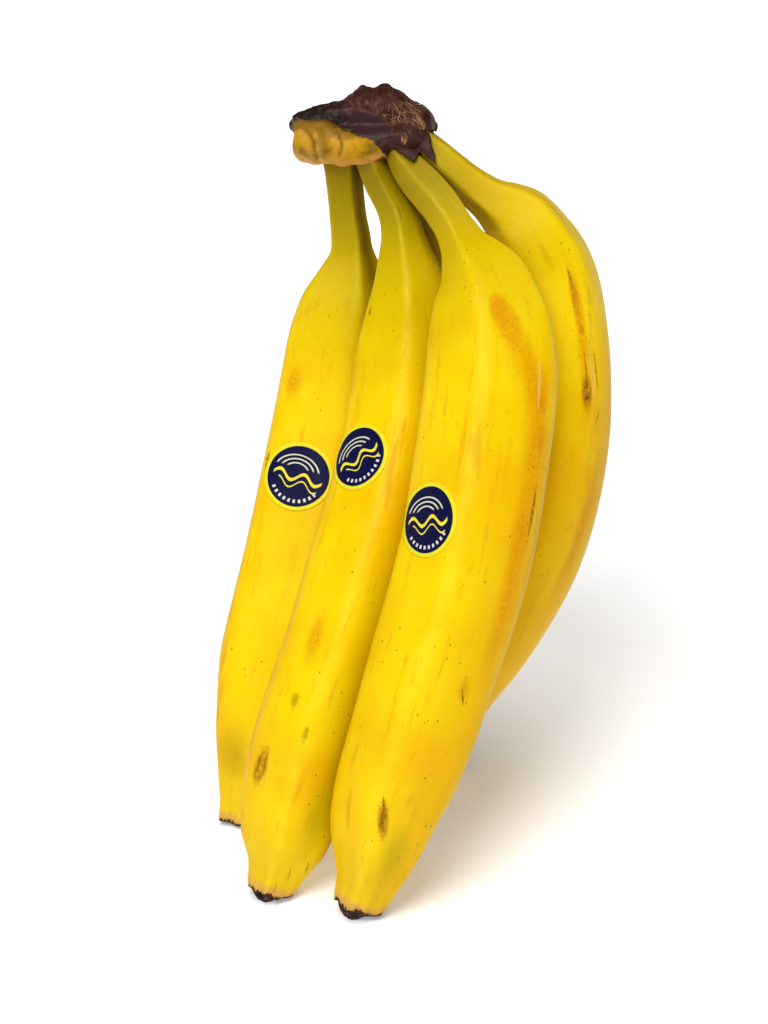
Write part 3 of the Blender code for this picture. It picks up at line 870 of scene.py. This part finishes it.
def crown_zones(points):
    """Masks on the crown: bare tissue, crease, rim, black skin, strap and fibrous hump."""
    across, up, back = points.T
    wobble = uneven(points, 6, 501) * 0.3 + uneven(points, 1.8, 502) * 0.18
    hidden = np.maximum(back - 21, 0)
    bare = ease(key_line(across, SKIN_EDGE) - up + wobble - hidden * 0.55, -0.15, 0.35)
    flat = points[:, :2]
    away = np.array([line_distance(flat, line) for line in CREASES])
    crease = np.exp(-(away / 0.45) ** 2).max(axis=0)
    beside = np.exp(-(away - 1.5) ** 2).max(axis=0)
    foot = up - key_line(across, LOBE_FOOT)
    rim = np.maximum(ease(foot + wobble, 3.0, 1.2), 0.4 * beside)
    under = key_line(across, SKIN_EDGE) - up + wobble * 0.7
    band = ease(under, 2.6, 1.7) * ease(across, -11, -15) * bare
    welt = np.exp(-(line_distance(flat, STRAP_TOP) / 0.45) ** 2) * ease(back, 24, 20)
    black = ease(across + 0.5 * (up - 115) + wobble * 3, -8.5, -13.5)
    strap_top = key_line(across, STRAP_TOP)
    strap = ease(strap_top - up + wobble * 0.5, -0.4, 0.6) * ease(back, 24, 19) * (1 - bare)
    strap = strap * ease(across, -15.5, -11.5) * ease(across, 4.0, 2.4)
    hump = ease(across, -14, -9) * (1 - strap) * (1 - bare) * (1 - black * 0.6)
    return {"bare": bare, "crease": crease * bare, "rim": rim * bare * (1 - band), "foot": foot,
            "band": band, "welt": welt * (1 - bare), "black": black * (1 - bare), "strap": strap,
            "hump": hump}


def crown_points(ways):
    """Places on the crown's finished skin, and the masks there."""
    points = CROWN_MIDDLE + ways * crown_reach(ways)[:, None]
    zones = crown_zones(points)
    grain = points * (1.5, 0.55, 0.8)
    crumple = 1.5 * (creased(points, 8, 511) - 0.6) + 0.8 * (creased(points, 3.5, 512) - 0.5)
    slanted = grain + points @ np.array([[0.4, 0, 0], [0.5, 0, 0], [0, 0, 0]])
    fibrous = (0.4 * (creased(slanted, 7, 521) - 0.5) + 0.16 * uneven(grain, 2.2, 522)
               + 0.9 * (creased(points, 16, 523) - 0.55))
    lobes = 0.18 * uneven(points, 7, 531) + 0.05 * uneven(points, 2, 532) - 0.55 * zones["crease"]
    lift = (zones["bare"] * (lobes - 0.5) - zones["band"] * 0.7 + zones["welt"] * 0.45
            + zones["black"] * (1 - zones["bare"]) * crumple * 0.8
            + zones["strap"] * (0.35 + 0.12 * uneven(points, 6, 541)) + zones["hump"] * fibrous)
    notch = np.exp(-((points[:, 0] + 3.4) / 1.2) ** 2) * ease(points[:, 1], 119, 124)
    peaks = sum(np.exp(-((points[:, 0] - at) / 1.8) ** 2) for at in (-7.0, 1.0))
    lift = lift - notch * 0.7 - (1.15 - peaks) * 0.7 * ease(points[:, 1], 121, 125)
    lift = lift + zones["black"] * 0.7 - 1.1 * ease(points[:, 2], 34, 41)
    return points + ways * (lift - CROWN_INSET)[:, None], zones


sphere = bmesh.new()
bmesh.ops.create_icosphere(sphere, subdivisions=6, radius=1)
crown_ways = unit(np.array([v.co[:] for v in sphere.verts]))
crown_faces = [tuple(v.index for v in f.verts) for f in sphere.faces]
sphere.free()
crown_shape, zones = crown_points(crown_ways)
print("crown points:", len(crown_shape), "bare share:", round(float(zones["bare"].mean()), 2))

# %% [markdown]
# ## The finish of the crown
# One finish covers the body. It reads the masks and mixes the colours of tissue and dried skin, with
# finer noise of its own for grain. On the tissue it paints shade into the creases, high up under the dried
# skin and along the lobes' lower edge; on the dried skin it paints highlights on the black part and along
# the welt.
# The dried skin is glossier on the strap than on the fibrous hump.
# Several materials would leave hard borders, where masks let one run into the next.

# %% The crown's finish and body
def crown_finish():
    crown = Finish("crown", 0.6, Specular_IOR_Level=0.18)
    place = crown.node("TexCoord", output=3)
    bare, crease, rim, foot, band, welt, black, strap, hump = map(crown.attribute, zones)
    slow = crown.noise(place, 140, 4, 0.6)
    mid = crown.noise(place, 420, 4, 0.65)
    grain = crown.noise(crown.stretch(place, (1.0, 0.35, 0.35)), 1300, 3, 0.6)
    tissue = crown.paint(
        colour("C99400"),
        ("8E6A04", slow.ease(0.4, 0.62)),
        ("DDA24E", rim * (0.5 + mid.ease(0.35, 0.6) * 0.5)),
        # painted shade in the creases between the lobes
        ("5E3C08", crease * 0.8),
        ("5A3608", mid.ease(0.6, 0.72) * 0.35),
        # painted shade on the upper tissue, under the overhanging dried skin
        ("8A640C", foot.ease(8.5, 12) * 0.75),
        # painted shade along the lower edge of the lobes
        ("3A2008", foot.ease(0.5, 0.0) * 0.85),
        ("94680E", band * mid.ease(0.3, 0.55) * 0.85))
    skin = crown.paint(
        colour("391913"),
        ("5A2E24", mid.ease(0.4, 0.7)),
        ("24100C", slow.ease(0.55, 0.72) * 0.8),
        ("8E6446", hump * (grain * mid).ease(0.3, 0.42) * 0.4),
        ("3A2024", strap * 0.92),
        ("221812", black * 0.9),
        # painted glints: grey highlights on the crumpled black skin
        ("77715F", black * (grain * mid).ease(0.32, 0.42) * 0.45),
        # painted highlight along the raised welt at the strap's top
        ("7A4A3A", welt * mid.ease(0.3, 0.5) * 0.4))
    crown.feed("Base Color", crown.mix(skin, tissue, bare))
    crown.feed("Roughness", 0.62 - strap * 0.2 - black * 0.12 + (grain - 0.5) * 0.25)
    crown.bump(mid * 0.8 + grain * 0.5 * (1 - strap), 0.32, 0.8)
    return crown.material


crown_material = crown_finish()
make_piece("crown_body", crown_shape, crown_faces, crown_material, "crown", zones)

# %% [markdown]
# ## Torn skin and fibres
# Where the hand was torn from the stem, points of dried skin hang over the necks, and loose fibres stand
# on the hump. A flap is a thin patch laid on whatever lies in front there.

# %% The torn flaps
# Each flap: the line that it hangs from and its lower edge, both as (across, up), and how far it curls.
FLAPS = {
    "flap_front": ([(-1.5, 108.6), (2.6, 109.8), (5.5, 110.6), (8.0, 111.2), (10.5, 112), (13.1, 112.6)],
                   [(-0.6, 105.2), (2.7, 106.8), (5.8, 104.6), (8.6, 102.8), (10.5, 106.2), (15.5, 102.1)],
                   0.35),
    "flap_side": ([(12.2, 112.4), (12.3, 114.0), (12.4, 115.4), (12.3, 116.8)],
                  [(14.6, 112.2), (15.7, 113.0), (15.9, 115.2), (13.9, 117.4)], 0.9),
}
FLAP_STEPS = 26
FLAP_THICKNESS = 0.35
FLAP_LIFT = 0.45
SIGHT_STEPS = np.linspace(-5, 45, 401)  # where skin is looked for, from the front to the back
NO_SKIN = 24.0  # how far back a flap lies where no skin is behind it


def front_of(flat):
    """How far back the first skin lies behind places (across, up), crown or necks."""
    ray = np.concatenate([np.repeat(flat[:, None, :], len(SIGHT_STEPS), axis=1),
                          np.repeat(SIGHT_STEPS[None, :, None], len(flat), axis=0)], axis=2)
    hit = crown_field(ray) > 1
    for number in (2, 3, 4):
        hit |= fingers[number].nearness(ray) < 1
    return np.where(hit.any(axis=1), SIGHT_STEPS[np.argmax(hit, axis=1)], NO_SKIN)


def along_keys(keys, count):
    """Places evenly spaced in number along a drawn line."""
    keys = np.array(keys, float)
    at = np.linspace(0, len(keys) - 1, count)
    return np.stack([np.interp(at, np.arange(len(keys)), column) for column in keys.T], axis=1)


def build_flap(name, top, bottom, curl):
    rows = FLAP_STEPS
    share = np.linspace(0, 1, rows)[:, None, None]
    flat = ((1 - share) * along_keys(top, rows) + share * along_keys(bottom, rows)).reshape(-1, 2)
    ragged = [uneven(np.c_[flat, flat[:, i]], 3, 601 + i) for i in (0, 1)]
    flat = flat + np.stack(ragged, axis=1) * 0.2
    back = front_of(flat)
    t = np.repeat(np.linspace(0, 1, rows), rows)
    s = np.tile(np.linspace(-1, 1, rows), rows)
    lift = FLAP_LIFT + curl * (0.4 * t + 0.6 * s ** 2 * t) + 0.18 * uneven(np.c_[flat, back], 4, 603)
    both = np.concatenate([np.c_[flat, back - lift], np.c_[flat, back - lift + FLAP_THICKNESS]])
    count = rows * rows
    faces = []
    grid = np.arange(count).reshape(rows, rows)
    for a in grid[:-1, :-1].ravel().tolist():
        quad = (a, a + 1, a + rows + 1, a + rows)
        faces.append(quad)
        faces.append(tuple(count + k for k in reversed(quad)))
    edge = np.concatenate([grid[0], grid[1:, -1], grid[-1, -2::-1], grid[-2:0:-1, 0]]).tolist()
    for a, b in zip(edge, edge[1:] + edge[:1]):
        faces.append((a, count + a, count + b, b))
    numbers = {key: np.zeros(len(both)) for key in zones}
    numbers["strap" if name == "flap_front" else "black"][:] = 0.45
    numbers["hump"][:] = 0.5
    numbers["foot"][:] = 5.0
    make_piece(name, both, faces, crown_material, None, numbers)


for name, (top, bottom, curl) in FLAPS.items():
    build_flap(name, top, bottom, curl)

# %% [markdown]
# A fibre is a fine tube that wanders over the crown, a little above it. Those that would lie on bare tissue
# or on the strap are left out. Tubes are used and not hair, since they are real faces in any export.

# %% The fibres
FIBRES = 760
FIBRE_STEPS = 12
FIBRE_LENGTH = (1.5, 5)
FIBRE_THICKNESS = (0.04, 0.085)
CROWN_SIZE = 11  # the crown's usual radius, which turns a fibre's length into steps
LOWEST_FIBRE = 104


def fibre_finish():
    fibre = Finish("fibre", 0.55)
    place = fibre.node("TexCoord", output=3)
    patchy = fibre.noise(place, 160, 3)
    fibre.feed("Base Color", fibre.paint(colour("542A1A"), ("BE8E60", patchy.ease(0.42, 0.6))))
    return fibre.material


def build_fibres():
    chance = np.random.default_rng(41)
    points, faces = [], []
    while len(points) < FIBRES * FIBRE_STEPS:
        start = np.array([chance.normal(6, 4), chance.normal(111.5, 4.5), chance.uniform(6, 34)])
        heading = np.array([0.45, -0.9, 0.1]) + chance.normal(0, 0.4, 3)
        length = chance.uniform(*FIBRE_LENGTH)
        ways = [unit(start - CROWN_MIDDLE)]
        for _ in range(FIBRE_STEPS - 1):
            heading = heading + chance.normal(0, 0.1, 3)
            step = unit(heading - (heading @ ways[-1]) * ways[-1])
            ways.append(unit(ways[-1] + step * length / FIBRE_STEPS / CROWN_SIZE))
        ways = np.array(ways)
        line, own = crown_points(ways)
        if own["bare"].max() > 0.2 or own["strap"].max() > 0.35 or line[:, 1].min() < LOWEST_FIBRE:
            continue
        rise = np.sin(np.linspace(0, math.pi * chance.uniform(0.7, 1.1), FIBRE_STEPS))
        loose = chance.uniform(0.05, 0.45) * np.maximum(rise, 0)
        line = line + ways * (0.04 + loose)[:, None]
        taper = np.sin(np.linspace(0.25, math.pi - 0.1, FIBRE_STEPS)) ** 0.5
        thick = (chance.uniform(*FIBRE_THICKNESS) * taper)[:, None]
        side = unit(np.cross(unit(np.gradient(line, axis=0)), ways))
        corners = [line + side * thick, line + ways * thick, line - side * thick, line - ways * thick]
        faces.extend(tube_faces(FIBRE_STEPS, len(corners), len(points) * len(corners)))
        points.extend(np.stack(corners, axis=1))
    make_piece("crown_fibres", np.concatenate(points), faces, fibre_finish(), None)


build_fibres()

# %% [markdown]
# ## The stickers
# Each sticker is a thin round label, wrapped on the peel: every point lies as far from the middle along
# the skin as it does on the flat label. The flat places are kept as numbers, and the finish draws a plain
# navy field, a yellow rim, waves, arcs and dashes from them. A flat disc would cut into the ridges.

# %% The stickers
# Each sticker: its banana, the share along it, the degrees round it and the tilt of its drawing.
STICKERS = [(1, 0.505, -22, 6), (2, 0.445, -47, 51), (3, 0.53, -49, 25)]
STICKER_RADIUS = 10.9
STICKER_RINGS = 30
STICKER_SIDES = 120
STICKER_BOTTOM, STICKER_TOP = 0.06, 0.22  # heights over the skin


def sticker_finish():
    label = Finish("sticker", 0.45, Specular_IOR_Level=0.08)
    right, up, _ = label.parts(label.attribute("label", vector=True))
    far = (right * right + up * up) ** 0.5
    turn = up.turn_from(right)
    wave = up + 0.4 - (right * 0.8).wave("SINE") * 1.3
    thick = wave.size().ease(0.62, 0.45) * right.size().ease(8.0, 7.6)
    thin = (wave + 2.3).size().ease(0.3, 0.18) * (right - 0.6).size().ease(6.6, 6.2)
    arc_far = ((right + 0.8) * (right + 0.8) * 0.7 + (up - 0.6) * (up - 0.6)) ** 0.5
    arcs = [(arc_far - reach).size().ease(0.28, 0.14) * up.ease(2.3, 3.0) for reach in (3.4, 4.7, 6.0)]
    dashes = (turn * 30).wave("SINE").ease(-0.1, 0.35)
    dashes = dashes * (far - 8.0).size().ease(0.6, 0.45) * (turn + math.pi / 2).size().ease(1.05, 1.0)
    face = label.paint(
        colour("10123E"),
        ("F3E03A", thick.most(thin)),
        ("E8E6C8", reduce(Wire.most, arcs) * 0.9),
        ("E8E6D8", dashes * 0.9),
        ("EDE02A", far.ease(9.6, 9.75)))
    label.feed("Base Color", face)
    return label.material


def build_sticker(number, finger, share, degrees, tilt, material):
    turn = round_ring(STICKER_SIDES)
    out = STICKER_RADIUS * np.arange(1, STICKER_RINGS + 1) / STICKER_RINGS
    along = np.concatenate([[0], (out[:, None] * np.cos(turn)).ravel()])
    around = np.concatenate([[0], (out[:, None] * np.sin(turn)).ravel()])
    shares, angles = finger.patch(share, math.radians(degrees), along, around)
    skin, outward = finger.surface(shares, angles), finger.outward(shares, angles)
    count = len(skin)
    both = np.concatenate([skin + outward * STICKER_BOTTOM, skin + outward * STICKER_TOP])
    faces = []
    for base in (0, count):
        for k in range(STICKER_SIDES):
            j = (k + 1) % STICKER_SIDES
            faces.append((base, base + 1 + k, base + 1 + j))
        faces.extend(ring_faces(STICKER_RINGS, STICKER_SIDES, base + 1))
    rim = 1 + (STICKER_RINGS - 1) * STICKER_SIDES
    for k in range(STICKER_SIDES):
        j = (k + 1) % STICKER_SIDES
        faces.append((rim + k, rim + j, count + rim + j, count + rim + k))
    down = finger.at(np.array([share]), finger.tangent)[0]
    lean = math.atan2(-down[0], -down[1])
    c, s = math.cos(math.radians(tilt) - lean), math.sin(math.radians(tilt) - lean)
    up, right = -along, around
    flat = np.stack([right * c + up * s, up * c - right * s, np.zeros(count)], axis=1)
    make_piece(f"label_{number}", both, faces, material, f"sticker_{number}",
               {"label": np.concatenate([flat, flat])})


sticker = sticker_finish()
for number, (owner, share, degrees, tilt) in enumerate(STICKERS, start=1):
    build_sticker(number, fingers[owner], share, degrees, tilt, sticker)

# %% [markdown]
# ## Floor and light
# The hand stands on a plain pale floor. One large soft lamp above the front gives the ridges their bright
# and dark sides, one almost overhead brightens the shoulders, and a dim even sky fills the rest.

# %% Floor and light
def add_sun(name, tilt, turn, power, softness):
    """A far soft lamp. Tilt is from straight down, turn is round the hand, 0 from the front, in degrees."""
    lamp = bpy.data.objects.new(name, bpy.data.lights.new(name, "SUN"))
    lamp.data.energy = power
    lamp.data.angle = math.radians(softness)
    lamp.rotation_euler = (math.radians(tilt), 0, math.radians(turn))
    scene.collection.objects.link(lamp)


WHITE = (1, 1, 1, 1)
FLOOR_HALF = 6  # metres
floor_finish = Finish("floor", 0.9, Specular_IOR_Level=0.1, Emission_Strength=0.3, Emission_Color=WHITE)
floor_finish.feed("Base Color", colour("F8F8F8"))
floor_mesh = bpy.data.meshes.new("floor")
corners = [(x * FLOOR_HALF, y * FLOOR_HALF, 0) for x, y in ((-1, -1), (1, -1), (1, 1), (-1, 1))]
floor_mesh.from_pydata(corners, [], [(0, 1, 2, 3)])
floor_mesh.materials.append(floor_finish.material)
floor = bpy.data.objects.new("floor", floor_mesh)
scene.collection.objects.link(floor)

add_sun("key", 38, -22, 2.0, 30)
add_sun("top", 8, 30, 1.35, 30)
sky = bpy.data.worlds.new("sky")
sky.use_nodes = True
sky_inputs = sky.node_tree.nodes["Background"].inputs
sky_inputs["Color"].default_value = WHITE
sky_inputs["Strength"].default_value = 0.04
scene.world = sky
scene.view_settings.view_transform = "Standard"
